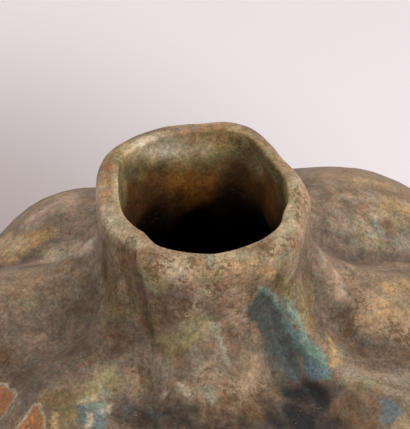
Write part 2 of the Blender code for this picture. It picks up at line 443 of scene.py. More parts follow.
def neck_stretch(azimuth):
    """How many times its thrown radius the neck reaches at an azimuth."""
    index, share, _ = station(azimuth, NECK_TURNS)
    following = NECK_REACHES[(index + 1) % len(NECK_REACHES)]
    reach = NECK_REACHES[index] + (following - NECK_REACHES[index]) * smooth_step(0, 1, share)
    return reach / NECK_RADIUS


def ribbing(below_lip, above_floor):
    """The share of their full relief that the ribs have at a height."""
    return smooth_step(0, RIB_RAMP, below_lip) * smooth_step(0, RIB_FADE, above_floor)


def lip_distance(point):
    """How far a point of the thrown form lies down from the lip and out past the neck."""
    return LIP_HEIGHT - point.z + max(math.hypot(point.x, point.y) - NECK_RADIUS, 0)


def pushed(point, form):
    """Where the potter's hands leave a point of the thrown form: squared at the neck, ribbed below."""
    radius = math.hypot(point.x, point.y)
    if radius < ON_AXIS:
        return point.copy()
    azimuth = math.atan2(point.y, point.x)
    below_lip = lip_distance(point)
    slant = LIP_SLANT * (1 - smooth_step(0, LIP_SLANT_FADE, below_lip))
    height = point.z - slant * (radius - NECK_RADIUS + LIP_THICKNESS / 2)
    stretch = 1 + (neck_stretch(azimuth) - 1) * (1 - smooth_step(0, CORNER_FADE, below_lip))
    outward = Vector((radius * stretch, height - BELLY_HEIGHT)).normalized()
    push = form.rib_relief * rib_rise(azimuth, below_lip) - form.valley_depth
    push *= ribbing(below_lip, point.z - FLOOR_HEIGHT)
    reach = radius * stretch + outward.x * push
    offset = NECK_OFFSET * (1 - smooth_step(0, NECK_OFFSET_FADE, below_lip))
    return Vector((reach * math.cos(azimuth) + offset, reach * math.sin(azimuth), height + outward.y * push))


def skin_place(azimuth, drop, form):
    """A point of the body's outside by azimuth and drop."""
    arc = LIP_THICKNESS / 2 * math.pi / 2
    place = WALL.place(WALL.lip + arc - max(drop, arc), 0)
    return pushed(Vector((place.x * math.cos(azimuth), place.x * math.sin(azimuth), place.y)), form)


Wash = namedtuple("Wash", "colour strength softness lines")
Glaze = namedtuple("Glaze", "colour softness raggedness strength thick strays lines")
Press = namedtuple("Press", "rise softness lines")

# What hands pressed into the clay or left standing: the rise in mm, the softness of its edge in mm, and its
# lines. Here and below, a line has points (x, y, half width) in pixels of the photograph.
PRESSES = (
    Press(-1.0, 1.6, (((134, 254, 2), (139, 272, 3), (142, 290, 3), (146, 310, 3), (150, 336, 3)),)),
    Press(-0.6, 2.0, (((106, 168, 3), (106, 188, 4), (108, 204, 3)),)),
    Press(0.5, 0.8, (((117, 164, 1), (117, 184, 1), (118, 204, 1)),)),
    Press(0.9, 3.0, (((318, 250, 2), (328, 264, 3), (338, 284, 4), (346, 306, 4)),)),
    Press(-0.8, 2.4, (((313, 254, 2), (316, 276, 3), (321, 300, 4), (327, 320, 4)),)),
    Press(0.6, 3.0, (((92, 243, 2), (70, 245, 4), (48, 254, 4)),)),
)

# The washes, from the first laid to the last: each one's colour, strength, softness in mm, and its lines.
WASHES = (
    # The shoulder on the left, behind the neck.
    Wash("tan", 0.8, 4, (
        ((96, 190, 5), (70, 192, 5), (40, 206, 6), (18, 222, 6)), ((95, 201, 4), (60, 203, 5)),
    )),
    Wash("blush", 0.9, 6, (((96, 196, 8), (64, 200, 8)), ((50, 208, 8), (30, 220, 6)))),
    Wash("rose", 0.85, 6, (((88, 222, 9), (66, 224, 9)), ((90, 234, 6), (60, 236, 5)))),
    Wash("taupe", 0.35, 4, (((90, 213, 4), (74, 215, 4)),)),
    Wash("plum", 0.35, 3, (((72, 228, 3), (64, 226, 3)),)),
    Wash("ochre", 0.85, 4, (((0, 247, 15), (26, 244, 13), (46, 234, 8)), ((0, 262, 4), (16, 260, 3)))),
    Wash("rust", 0.3, 3, (((34, 232, 5), (48, 230, 5)), ((0, 265, 2), (12, 262, 2)))),
    Wash("cream", 0.6, 5, (((4, 242, 6), (24, 244, 6)), ((42, 222, 4), (30, 228, 3)))),
    # The rib that comes forward on the left.
    Wash("plum", 0.45, 8, (((76, 300, 18), (30, 318, 26), (10, 346, 22), (50, 372, 22)),)),
    Wash("blush", 0.9, 7, (((92, 246, 7), (72, 252, 10), (50, 258, 9)),)),
    # Pale glaze on the left fold, partly a painted highlight where the fold catches the light.
    Wash("chalk", 0.5, 6, (((90, 247, 6), (74, 251, 9), (54, 256, 8)),)),
    Wash("rose", 0.45, 4, (
        ((20, 266, 5), (38, 264, 5)), ((2, 306, 4), (6, 312, 4)), ((40, 340, 5), (36, 346, 4)),
    )),
    Wash("plum", 0.5, 6, (((92, 270, 5), (94, 300, 7), (86, 322, 9)), ((66, 312, 6), (58, 318, 5)))),
    Wash("celadon", 0.3, 4, (
        ((74, 284, 5), (76, 290, 4)), ((24, 297, 4), (34, 298, 4)), ((10, 336, 5), (4, 340, 4)),
    )),
    Wash("plum", 0.8, 8, (((128, 340, 9), (108, 350, 12), (84, 350, 10), (66, 352, 8)),)),
    Wash("night", 0.35, 8, (((122, 342, 8), (100, 350, 10), (78, 350, 8)),)),
    Wash("umber", 0.7, 4, (((2, 352, 8), (10, 362, 6)),)),
    Wash("plum", 0.8, 5, (
        ((16, 372, 6), (34, 388, 8), (28, 402, 6), (12, 424, 5)), ((50, 372, 7), (80, 374, 5)),
    )),
    Wash("slate", 0.35, 3, (((34, 378, 4), (42, 386, 4)),)),
    Wash("olive", 0.8, 4, (((52, 398, 8), (70, 404, 10), (58, 424, 8)), ((86, 392, 5), (74, 418, 6)))),
    Wash("khaki", 0.8, 4, (((108, 374, 7), (98, 386, 6), (86, 390, 4)), ((116, 380, 5), (112, 390, 4)))),
    # The neck's left side.
    Wash("umber", 0.9, 4, (((104, 244, 5), (104, 270, 7), (110, 300, 6)), ((124, 248, 9), (126, 270, 9)))),
    Wash("olive", 0.85, 4, (((110, 276, 6), (116, 296, 9), (114, 316, 9)), ((130, 284, 5), (132, 312, 6)))),
    Wash("tan", 0.35, 3, (((118, 262, 3), (124, 284, 4), (124, 304, 5)),)),
    Wash("umber", 0.9, 3, (
        ((132, 256, 4), (136, 284, 4), (141, 312, 4), (147, 334, 4)), ((104, 256, 3), (110, 284, 3)),
    )),
    Wash("night", 0.7, 1.5, (((134, 258, 1), (138, 280, 1.2), (143, 306, 1.2), (148, 332, 1)),)),
    Wash("plum", 0.6, 2.5, (((141, 290, 3), (146, 306, 4), (150, 322, 4)), ((116, 324, 7), (130, 326, 6)))),
    Wash("umber", 0.6, 5, (((114, 334, 8), (124, 344, 8)),)),
    # The front of the neck.
    Wash("rose", 0.75, 6, (((158, 254, 7), (180, 266, 10), (184, 284, 9), (230, 300, 10), (236, 320, 10)),)),
    Wash("tan", 0.8, 6, (
        ((176, 262, 9), (196, 276, 8)), ((222, 286, 8), (246, 292, 8)), ((206, 258, 6), (230, 266, 7)),
    )),
    Wash("cream", 0.55, 4, (((178, 262, 6), (170, 276, 5), (192, 272, 5)), ((218, 256, 5), (244, 252, 6)))),
    Wash("khaki", 0.6, 4, (
        ((206, 262, 6), (212, 276, 6)), ((156, 282, 6), (162, 284, 5)), ((224, 262, 5), (238, 258, 5)),
    )),
    Wash("umber", 0.5, 5, (((160, 298, 7), (166, 312, 8), (164, 322, 7)), ((186, 304, 7), (190, 314, 5)))),
    Wash("cream", 0.6, 3, (((206, 290, 5), (198, 308, 5), (186, 324, 4)), ((204, 322, 5), (200, 334, 4)))),
    Wash("olive", 0.85, 3, (((151, 318, 4), (156, 336, 5), (166, 350, 7), (182, 350, 7), (194, 340, 6)),)),
    Wash("khaki", 0.85, 3, (((160, 340, 4), (172, 346, 7), (186, 342, 7), (196, 328, 6), (206, 322, 5)),)),
    Wash("taupe", 0.8, 4, (((222, 336, 6), (240, 350, 10), (238, 372, 10)), ((200, 352, 7), (196, 366, 6)))),
    Wash("ash", 0.4, 3, (
        ((152, 362, 6), (166, 368, 7), (172, 378, 6)), ((200, 350, 3), (205, 372, 3), (210, 396, 4)),
    )),
    Wash("plum", 0.55, 3, (((186, 374, 7), (196, 378, 5)), ((158, 388, 6), (150, 396, 6)))),
    Wash("rose", 0.45, 4, (
        ((214, 372, 6), (226, 388, 8)), ((216, 348, 4), (228, 344, 4)), ((254, 372, 5), (248, 390, 5)),
    )),
    Wash("umber", 0.35, 6, (((226, 338, 7), (236, 356, 10), (232, 378, 8)),)),
    Wash("ash", 0.7, 3, (((182, 388, 5), (188, 396, 5)), ((208, 388, 4), (213, 402, 4)))),
    Wash("tan", 0.5, 4, (((132, 376, 6), (144, 384, 6), (134, 394, 5)), ((252, 360, 5), (250, 386, 6)))),
    Wash("umber", 0.85, 5, (((230, 402, 8), (212, 414, 9), (244, 410, 9)),)),
    Wash("night", 0.95, 6, (
        ((120, 412, 8), (150, 416, 11), (184, 420, 12), (214, 424, 12), (240, 426, 12), (264, 424, 8)),
    )),
    Wash("blue", 0.45, 3, (
        ((258, 424, 5), (272, 426, 5)), ((150, 408, 3), (160, 414, 3)), ((124, 404, 3), (130, 410, 3)),
    )),
    # The right of the neck and the rib that comes forward there.
    Wash("ochre", 0.6, 4, (((258, 268, 5), (268, 272, 6)),)),
    Wash("khaki", 0.75, 4, (
        ((280, 264, 7), (284, 256, 6)), ((286, 280, 7), (292, 294, 5)), ((268, 252, 5), (280, 244, 5)),
        ((300, 286, 6), (304, 304, 6), (307, 322, 5)),
    )),
    Wash("cream", 0.6, 4, (((290, 254, 5), (294, 266, 5), (290, 276, 3)), ((270, 260, 3), (278, 252, 3)))),
    Wash("slate", 0.75, 4, (((266, 346, 7), (276, 364, 9), (282, 384, 9)),)),
    Wash("olive", 0.75, 3, (
        ((307, 252, 3), (308, 276, 4), (309, 300, 4), (313, 326, 4)), ((274, 276, 5), (288, 288, 4)),
    )),
    Wash("ash", 0.35, 4, (((264, 252, 6), (282, 248, 5)),)),
    Wash("taupe", 0.9, 3, (
        ((314, 252, 2), (318, 276, 5), (322, 300, 7), (330, 328, 8), (344, 352, 8), (360, 360, 7)),
    )),
    Wash("plum", 0.5, 2, (((312, 250, 2), (314, 270, 2), (317, 300, 3), (322, 326, 4)),)),
    Wash("blush", 0.75, 3, (((318, 248, 2), (326, 260, 5), (334, 278, 5), (340, 298, 4)),)),
    Wash("rose", 0.6, 6, (((340, 262, 4), (380, 270, 8), (404, 266, 6)), ((372, 286, 8), (360, 298, 6)))),
    Wash("plum", 0.6, 3, (
        ((330, 248, 2), (350, 256, 4), (380, 260, 5), (408, 260, 4)), ((346, 266, 3), (362, 286, 4)),
    )),
    Wash("plum", 0.35, 5, (((346, 288, 6), (358, 300, 5)),)),
    Wash("ochre", 0.75, 4, (((386, 286, 6), (408, 284, 7)),)),
    Wash("ochre", 0.5, 4, (((362, 320, 4), (396, 312, 7)), ((378, 302, 4), (392, 304, 4)))),
    Wash("tan", 0.7, 5, (
        ((372, 322, 10), (402, 334, 12)), ((366, 302, 6), (376, 310, 6)), ((400, 300, 5), (408, 304, 5)),
    )),
    Wash("plum", 0.6, 6, (((344, 340, 9), (376, 346, 10), (404, 350, 9)), ((364, 398, 14), (400, 404, 12)))),
    Wash("umber", 0.6, 4, (
        ((378, 352, 6), (408, 358, 8)), ((344, 318, 3), (350, 334, 4)), ((358, 346, 5), (372, 356, 5)),
    )),
    Wash("ash", 0.65, 4, (((346, 372, 6), (372, 374, 7), (406, 380, 8)), ((394, 390, 6), (408, 394, 6)))),
    Wash("khaki", 0.4, 4, (((352, 384, 6), (380, 386, 6)), ((408, 408, 6), (406, 422, 6)))),
    Wash("umber", 0.75, 5, (((352, 402, 10), (362, 420, 12)), ((336, 412, 7), (342, 426, 7)))),
    Wash("rust", 0.35, 3, (((334, 406, 3), (338, 420, 4)), ((366, 396, 4), (376, 400, 3)))),
    Wash("plum", 0.8, 4, (((330, 380, 5), (338, 392, 7), (334, 402, 6)),)),
    Wash("night", 0.95, 5, (
        ((300, 386, 10), (312, 402, 15), (300, 422, 17), (334, 426, 10)), ((266, 404, 7), (276, 420, 11)),
    )),
    Wash("umber", 0.5, 5, (((258, 404, 8), (254, 418, 8)), ((272, 386, 6), (280, 396, 6)))),
    # The shoulder on the right, behind the neck.
    Wash("taupe", 0.8, 5, (((304, 170, 5), (318, 184, 8), (322, 206, 12), (342, 208, 12), (326, 228, 8)),)),
    Wash("tan", 0.75, 3, (((326, 174, 4), (352, 180, 6), (390, 186, 5)),)),
    Wash("rose", 0.5, 3, (
        ((322, 180, 4), (340, 186, 4)), ((350, 204, 4), (378, 196, 4)), ((366, 210, 4), (388, 206, 4)),
    )),
    Wash("ochre", 0.35, 3, (((356, 180, 4), (386, 184, 4)),)),
    Wash("plum", 0.4, 3, (((336, 191, 3), (366, 191, 3), (398, 194, 3)), ((350, 204, 2), (354, 210, 3)))),
    Wash("ash", 0.35, 3, (((336, 198, 4), (360, 198, 4), (386, 200, 3)), ((304, 172, 3), (312, 178, 4)))),
    Wash("ochre", 0.75, 4, (((394, 206, 6), (408, 212, 8)), ((384, 208, 4), (392, 216, 3)))),
    Wash("cream", 0.6, 2.5, (((370, 216, 3), (386, 218, 3), (404, 222, 3)), ((404, 202, 3), (409, 204, 3)))),
    Wash("ash", 0.8, 5, (
        ((338, 226, 8), (360, 228, 8), (372, 240, 8)), ((356, 244, 4), (386, 246, 5), (406, 242, 5)),
    )),
    Wash("khaki", 0.5, 3, (
        ((358, 226, 4), (362, 238, 4)), ((374, 236, 4), (377, 246, 4)), ((398, 224, 4), (408, 228, 4)),
    )),
    Wash("umber", 0.5, 2.5, (
        ((338, 237, 3), (348, 240, 4)), ((356, 237, 2), (364, 236, 2)), ((382, 226, 3), (392, 226, 3)),
    )),
    Wash("blue", 0.3, 3, (((386, 238, 3), (398, 240, 4)), ((404, 230, 3), (406, 234, 3)))),
    Wash("turquoise", 0.6, 3, (((373, 223, 3), (376, 230, 3)),)),
    Wash("umber", 0.45, 2, (((316, 240, 1), (326, 246, 1.5), (338, 251, 1.5), (400, 252, 1.5)),)),
    # The lip, from the left round the back to the right, then the front.
    Wash("rust", 0.8, 3, (((106, 166, 4), (105, 180, 5)), ((107, 190, 4), (108, 196, 3)))),
    Wash("tan", 0.7, 3, (((102, 196, 3), (110, 202, 5)), ((112, 170, 3), (115, 184, 2)))),
    Wash("cream", 0.8, 3, (((104, 208, 4), (110, 220, 6)), ((114, 176, 1.5), (116, 196, 1.5)))),
    Wash("cream", 0.8, 3, (((112, 224, 4), (128, 236, 5), (140, 246, 3)),)),
    Wash("celadon", 0.4, 3, (((100, 176, 2), (99, 190, 2)), ((116, 216, 3), (124, 228, 3)))),
    Wash("umber", 0.6, 3, (((102, 228, 4), (108, 240, 6), (116, 248, 5)), ((112, 158, 3), (118, 152, 2)))),
    Wash("khaki", 0.8, 3, (((114, 154, 4), (124, 148, 4), (136, 142, 4)), ((130, 154, 4), (120, 162, 4)))),
    Wash("plum", 0.75, 2, (
        ((128, 139, 2), (152, 131, 3), (178, 128, 2.5)), ((236, 121, 2), (250, 126, 4), (262, 134, 3)),
    )),
    Wash("cream", 0.65, 3, (((130, 150, 4), (144, 142, 5), (172, 140, 6), (196, 140, 4)),)),
    Wash("rust", 0.55, 2.5, (
        ((198, 131, 4), (222, 130, 4)), ((176, 134, 3), (184, 132, 3)), ((252, 140, 3), (258, 150, 4)),
    )),
    Wash("ochre", 0.7, 3, (
        ((206, 124, 2), (232, 122, 2)), ((226, 130, 4), (244, 138, 5)), ((198, 142, 5), (216, 144, 5)),
    )),
    Wash("khaki", 0.7, 3, (((180, 142, 5), (172, 152, 5)), ((246, 132, 3), (262, 146, 3), (272, 158, 3)))),
    Wash("umber", 0.55, 2.5, (
        ((246, 138, 3), (256, 152, 3), (270, 166, 3), (280, 182, 2)), ((256, 134, 2), (266, 142, 2)),
    )),
    Wash("khaki", 0.75, 3, (((274, 160, 4), (286, 178, 4), (292, 196, 5), (288, 214, 5), (284, 228, 5)),)),
    Wash("rust", 0.4, 2, (((278, 166, 3), (284, 176, 3)), ((290, 246, 5), (278, 252, 4)))),
    Wash("cream", 0.75, 3, (((294, 206, 4), (292, 222, 5), (280, 238, 4)), ((296, 178, 3), (300, 190, 3)))),
    Wash("rose", 0.6, 2.5, (((302, 188, 3), (306, 204, 3), (306, 224, 3)), ((300, 236, 3), (304, 244, 3)))),
    Wash("umber", 0.4, 3, (((298, 182, 2), (298, 200, 2), (297, 214, 2)), ((288, 236, 3), (296, 232, 3)))),
    Wash("tan", 0.6, 3, (((270, 240, 5), (252, 246, 5), (228, 252, 4)), ((172, 252, 4), (196, 256, 4)))),
    Wash("umber", 0.5, 3, (((144, 254, 3), (156, 258, 4), (150, 264, 3)), ((240, 250, 3), (262, 246, 3)))),
    # The inside, with a painted highlight near the top left, down to where it is painted dark as shade.
    Wash("khaki", 0.9, 4, (((124, 160, 4), (150, 156, 6), (176, 156, 7), (216, 152, 8), (240, 148, 6)),)),
    Wash("ochre", 0.85, 4, (((180, 148, 5), (204, 146, 6), (226, 144, 6)), ((128, 156, 4), (140, 152, 4)))),
    Wash("khaki", 0.6, 3, (((190, 144, 3), (212, 150, 4)), ((158, 154, 4), (176, 156, 4)))),
    Wash("olive", 0.8, 4, (
        ((236, 150, 5), (252, 160, 7)), ((128, 172, 6), (142, 174, 5)), ((176, 166, 4), (226, 164, 4)),
    )),
    Wash("cream", 0.8, 4, (((132, 152, 5), (150, 150, 6), (176, 148, 6), (204, 150, 5)),)),
    # Painted highlight: a pale sheen on the inner slope at the top left, in the fleck colour.
    Wash("chalk", 0.95, 4, (((142, 144, 5), (158, 145, 8), (174, 146, 6)),)),
    Wash("slate", 0.5, 3, (((122, 170, 3), (134, 174, 4)),)),
    Wash("throat", 0.9, 5, (
        ((132, 186, 8), (142, 206, 8), (156, 190, 9)), ((264, 170, 5), (274, 196, 7), (266, 218, 6)),
    )),
    Wash("amber", 0.85, 9, (((180, 180, 7), (200, 184, 11), (198, 200, 9)),)),
    Wash("amber", 0.5, 6, (((262, 176, 4), (272, 192, 5), (270, 206, 4)),)),
    Wash("olive", 0.85, 2, (((121, 164, 2.5), (120, 184, 2.5), (123, 202, 2.5)),)),
    Wash("umber", 0.7, 3, (((270, 160, 3), (280, 178, 3), (283, 198, 2.5)),)),
    # Painted shade: the lowest part of the inside in view, painted near black.
    Wash("pitch", 0.9, 6, (((144, 230, 8), (162, 222, 10), (190, 216, 10), (224, 206, 12), (262, 224, 9)),)),
)

# The glazes with crisp edges over the washes: colour, softness and raggedness of the edge in mm, strength,
# whether they stand proud, how many strays the unseen sides get, and their lines.
GLAZES = (
    Glaze("charcoal", 2.0, 1.6, 0.9, 0, 3, (
        ((286, 392, 6), (312, 390, 8), (322, 402, 8)), ((290, 408, 9), (304, 422, 11)),
        ((276, 418, 4), (284, 426, 5)), ((364, 344, 1.6), (365, 348, 1.4)), ((262, 330, 2), (268, 342, 2)),
    )),
    Glaze("slate", 0.7, 1.1, 0.92, 1, 3, (
        ((262, 294, 6), (264, 310, 12), (272, 326, 12), (286, 338, 9), (298, 346, 7)),
        ((250, 308, 2), (254, 320, 3)), ((268, 344, 4), (284, 356, 8), (294, 372, 7)),
    )),
    Glaze("teal", 1.1, 1.4, 0.85, 1, 2, (
        ((284, 324, 3), (296, 336, 5), (307, 350, 7), (316, 364, 8), (318, 372, 8)),
        ((280, 304, 2), (291, 316, 4)), ((256, 296, 2), (262, 290, 3)),
        ((88, 406, 4), (84, 422, 4), (100, 426, 5)),
    )),
    Glaze("turquoise", 0.9, 1.3, 0.8, 1, 3, (
        ((258, 288, 1.4), (268, 291, 2.2), (277, 297, 2.2), (283, 303, 1.5)),
        ((288, 298, 1.6), (296, 314, 2.4), (304, 332, 3)), ((326, 372, 1.6), (331, 379, 1.6)),
        ((304, 340, 4), (312, 348, 5), (319, 356, 4), (323, 364, 2.5)),
        ((82, 400, 2), (90, 398, 2.5), (102, 404, 2.5), (102, 414, 2)),
    )),
    Glaze("sea", 1.2, 1.5, 0.75, 1, 2, (
        ((308, 362, 4), (314, 370, 6), (324, 374, 5)), ((82, 402, 2), (84, 410, 2.5)),
        ((98, 412, 2), (101, 420, 2.5)), ((386, 400, 3), (394, 408, 6), (388, 418, 4)),
    )),
    Glaze("celadon", 1.0, 1.0, 0.75, 0, 6, (
        ((142, 274, 3), (146, 283, 4.6), (153, 289, 3.6)), ((337, 346, 2.2), (341, 354, 2.2)),
        ((209, 314, 1), (215, 328, 2), (223, 346, 2.2), (228, 364, 1)), ((212, 384, 1.6), (214, 398, 1.8)),
        ((212, 258, 2.5), (214, 268, 2.2)), ((294, 302, 2), (290, 308, 2)), ((106, 392, 2.5), (102, 386, 2)),
        ((281, 256, 3), (290, 250, 2)),
    )),
    Glaze("ochre", 1.2, 1.0, 0.85, 0, 5, (
        ((327, 334, 1.8), (331, 344, 3.2), (337, 358, 3.4), (331, 364, 2)), ((80, 400, 1), (96, 397, 1.2)),
        ((58, 414, 1.5), (56, 428, 2)), ((266, 270, 2.5), (272, 274, 2)),
    )),
    Glaze("bloom", 0.6, 0.5, 0.9, 0, 3, (
        ((0, 398, 9), (8, 400, 7), (0, 412, 6)), ((39, 408, 3), (36, 420, 7), (30, 432, 10)),
    )),
    Glaze("cream", 1.0, 1.4, 0.75, 0, 4, (
        ((90, 412, 2), (92, 420, 3.2), (90, 428, 3)), ((108, 404, 1.2), (105, 410, 1)),
        ((180, 388, 2.4), (187, 393, 3)), ((166, 395, 1.6), (169, 394, 1.2)),
    )),
)

# Where the brown specks and the pale flecks cluster.
SPECKLES = (
    ((158, 250, 6), (166, 262, 6)), ((186, 280, 5), (193, 292, 4)), ((203, 278, 3), (206, 284, 3)),
    ((176, 296, 6), (188, 306, 9), (180, 318, 7)), ((216, 268, 4), (234, 272, 5)),
    ((218, 288, 4), (224, 296, 4)), ((112, 262, 9), (116, 276, 9)),
    ((228, 310, 3), (240, 316, 4)), ((240, 330, 4), (248, 338, 4)), ((232, 390, 6), (240, 402, 8)),
    ((212, 416, 6), (236, 420, 8)), ((128, 244, 5), (120, 258, 8)), ((116, 284, 6), (126, 300, 8)),
    ((152, 296, 5), (164, 312, 7)), ((150, 262, 4), (154, 272, 4)), ((250, 284, 4), (246, 300, 4)),
    ((140, 366, 6), (148, 384, 6)), ((108, 336, 6), (120, 346, 8)), ((100, 350, 6), (92, 358, 5)),
    ((344, 318, 4), (351, 332, 4)), ((356, 290, 3), (366, 304, 3)), ((390, 326, 5), (404, 340, 6)),
    ((282, 276, 5), (290, 290, 5)), ((298, 188, 2), (298, 204, 3), (297, 216, 2)),
    ((268, 248, 5), (290, 244, 6)), ((232, 142, 3), (246, 150, 4)), ((272, 170, 3), (278, 190, 3)),
    ((106, 228, 5), (104, 244, 5)), ((266, 398, 5), (262, 412, 6)), ((252, 264, 3), (246, 272, 3)),
    ((200, 256, 4), (190, 262, 3)),
)
FLECKS = (
    ((287, 308, 4), (293, 320, 5)), ((180, 388, 6), (188, 396, 7)), ((90, 410, 4), (92, 424, 5)),
    ((214, 322, 4), (226, 352, 5)), ((296, 386, 8), (312, 412, 14), (290, 422, 10)),
    ((246, 346, 5), (256, 392, 8)), ((150, 408, 14), (128, 420, 10)), ((132, 378, 5), (150, 386, 6)),
    ((156, 142, 5), (166, 148, 5)), ((240, 404, 5), (268, 398, 6)), ((330, 392, 6), (342, 404, 7)),
    ((276, 356, 6), (284, 370, 6)),
)

# Strays: marks strewn over the sides that the photograph doesn't show, in degrees and mm. Crisp glazes gather
# at a few spots, each an azimuth and a drop, within a spread of both. Other strays lie anywhere between two
# drops. A stray is so many half widths long, leans a little, and narrows to a share of its width.
STRAY_SEED = 12
STRAY_SPOTS = ((74, 44), (112, 78), (24, 132), (196, 140), (292, 158))
STRAY_TURN = 5
STRAY_DROP = 9
STRAY_DROPS = (16, 240)
LOWEST_DROP = 246
STRAY_LENGTHS = (0.3, 4)
STRAY_LEAN = 0.5
STRAY_TAPERS = (0.5, 1)
GLAZE_HALVES = (1.5, 6)

# The loose clusters of specks and the loose washes: their number, half widths, and how a wash looks.
STRAY_CLUSTERS = 26
CLUSTER_HALVES = (2, 7)
STRAY_WASHES = 130
WASH_HALVES = (2, 12)
WASH_STRENGTHS = (0.4, 0.85)
WASH_SOFTNESSES = (3, 7)
STRAY_COLOURS = ("tan", "rose", "ash", "umber", "plum", "olive", "khaki", "ochre", "taupe", "night")

# The azimuths that the photograph shows, past a full turn, and the drop down to which it shows the body.
FULL_TURN = 360
SHOWN_AZIMUTHS = (140, 410)
SHOWN_DROP = 84


class View:
    """The photograph's camera: where it stands, and the ray through a pixel of the photograph."""

    def __init__(self, stage):
        self.right = Vector((1, 0, 0))
        self.up = Vector((0, math.sin(stage.elevation), math.cos(stage.elevation)))
        self.back = Vector((0, -math.cos(stage.elevation), math.sin(stage.elevation)))
        lip_middle = Vector((NECK_OFFSET, 0, LIP_HEIGHT))
        self.aim = lip_middle - self.offset(LIP_PIXEL[0], LIP_PIXEL[1])
        self.place = self.aim + self.back * stage.distance

    def offset(self, across, down):
        """From the frame's middle to a pixel, in the plane through the lip."""
        return self.right * (across - FRAME_WIDE / 2) * PIXEL - self.up * (down - FRAME_HIGH / 2) * PIXEL

    def ray(self, across, down):
        return (self.aim + self.offset(across, down) - self.place).normalized()


def drift(place):
    """How far a mark's edge wanders at a place, in mm: smooth from place to place, the same in each run."""
    total = Vector()
    for waves, reach in WANDERS:
        wave = [noise.noise(place * waves + Vector((shift, 0, 0))) for shift in WANDER_SHIFTS]
        total += Vector(wave) * reach
    return total


class Skin:
    """The body's points, and how far each one is from lines laid on the body."""

    def __init__(self, mesh, drop_layer, view):
        self.view = view
        self.tree = BVHTree.FromBMesh(mesh)
        self.face_drops = [face.verts[0][drop_layer] for face in mesh.faces]
        places = [vert.co for vert in mesh.verts]
        self.places = numpy.array(places)
        self.drops = numpy.array([vert[drop_layer] for vert in mesh.verts])
        wander = numpy.array([drift(place) for place in places]) * MM
        outward = numpy.array([vert.normal for vert in mesh.verts])
        wander -= outward * (wander * outward).sum(axis=1)[:, None]
        self.wandered = self.places + wander

    def clouds(self, waves):
        """Cloudy noise at each point, with so many waves to the metre."""
        return numpy.array([noise.noise(Vector(place) * waves) for place in self.places])

    def laid(self, lines):
        """Lines drawn on the photograph as lines of (place, drop, half width) on the body."""
        return [
            [(*self.hit(across, down), half * PIXEL * MARK_SPREAD) for across, down, half in line]
            for line in lines
        ]

    def hit(self, across, down):
        """The place and drop that a pixel shows, or the first one below it that shows the body."""
        for lower in range(SEARCH_PIXELS):
            place, _, face, _ = self.tree.ray_cast(self.view.place, self.view.ray(across, down + lower))
            if place is not None:
                return place, self.face_drops[face]
        raise ValueError(f"nothing of the body is seen at {across}, {down}")

    def gap(self, lines, steady=False):
        """How far each point lies outside the edge of the nearest line, below 0 within it."""
        places = self.places if steady else self.wandered
        nearest = numpy.full(len(places), FAR)
        for line in lines:
            gap = numpy.full(len(places), FAR)
            for (start, _, wide), (end, _, other) in zip(line, line[1:] or line):
                start = numpy.array(start)
                along = numpy.array(end) - start
                away = places - start
                share = numpy.clip(away @ along / max(along @ along, SAME_PLACE**2), 0, 1)
                distance = numpy.linalg.norm(away - share[:, None] * along, axis=1)
                gap = numpy.minimum(gap, distance - wide - share * (other - wide))
            drop = line[0][1]
            if abs(drop) > LIP_THICKNESS:
                gap[self.drops * math.copysign(1, drop) < -LIP_THICKNESS / 2] = FAR
            nearest = numpy.minimum(nearest, gap)
        return nearest


class Strays:
    """Draws lines for the sides that the photograph doesn't show, the same in each run."""

    def __init__(self, form):
        self.form = form
        self.chance = random.Random(STRAY_SEED)

    def line(self, halves, spots):
        """A line that runs down an unseen side like a drip, near a spot if there are any."""
        first, last = SHOWN_AZIMUTHS
        while True:
            azimuth = self.chance.uniform(0, FULL_TURN)
            drop = self.chance.uniform(*STRAY_DROPS)
            if spots:
                spot = self.chance.choice(spots)
                azimuth = self.chance.gauss(spot[0], STRAY_TURN)
                drop = self.chance.gauss(spot[1], STRAY_DROP)
            half = self.chance.uniform(*halves)
            length = half * self.chance.uniform(*STRAY_LENGTHS)
            lean = self.chance.uniform(-STRAY_LEAN, STRAY_LEAN) * length * MM / NECK_RADIUS
            seen = first < azimuth + FULL_TURN * (azimuth < last - FULL_TURN) < last
            if not seen or drop > SHOWN_DROP + half + length:
                break
        turn = math.radians(azimuth)
        start = skin_place(turn, drop * MM, self.form)
        end = skin_place(turn + lean, min(drop + length, LOWEST_DROP) * MM, self.form)
        taper = self.chance.uniform(*STRAY_TAPERS)
        return [(start, drop * MM, half * MM), (end, drop * MM, half * MM * taper)]

    def lines(self, count, halves, spots=None):
        return [self.line(halves, spots) for _ in range(count)]

    def wash(self):
        tint = self.chance.choice(STRAY_COLOURS)
        strength = self.chance.uniform(*WASH_STRENGTHS)
        softness = self.chance.uniform(*WASH_SOFTNESSES)
        return Wash(tint, strength, softness, self.lines(1, WASH_HALVES))


def ground_colours(skin, crests, glaze):
    """Each point's colour before the washes: taupe, tan on crests, purplish in valleys, dark inside with
    painted shade.
    """
    shade = numpy.tile(glaze.taupe, (len(skin.places), 1))
    clouds = skin.clouds(CLOUD_WAVES)
    depth = -skin.drops + clouds * 5 * MM

    # Each layer's colour, strength and share at each point: by crest, nearness to the lip, or depth inside.
    layers = (
        ("tan", 0.5, smooth_steps(0.45, 1.1, crests)),
        ("plum", 0.5, smooth_steps(0.3, 0.0, crests)),
        ("tan", 0.8, smooth_steps(13 * MM, 5 * MM, numpy.abs(skin.drops))),
        ("khaki", 0.4, smooth_steps(0.1, 0.4, clouds) * smooth_steps(30 * MM, 9 * MM, numpy.abs(skin.drops))),
        ("khaki", 0.8, smooth_steps(1 * MM, 5 * MM, depth)),
        # Down the inside: dark brown glaze, then near black, darkening with depth as painted shade.
        ("throat", 1.0, smooth_steps(7 * MM, 14 * MM, depth)),
        ("pitch", 1.0, smooth_steps(14 * MM, 26 * MM, depth)),
    )
    for name, strength, share in layers:
        shade += strength * share[:, None] * (numpy.array(getattr(glaze, name)) - shade)
    return shade


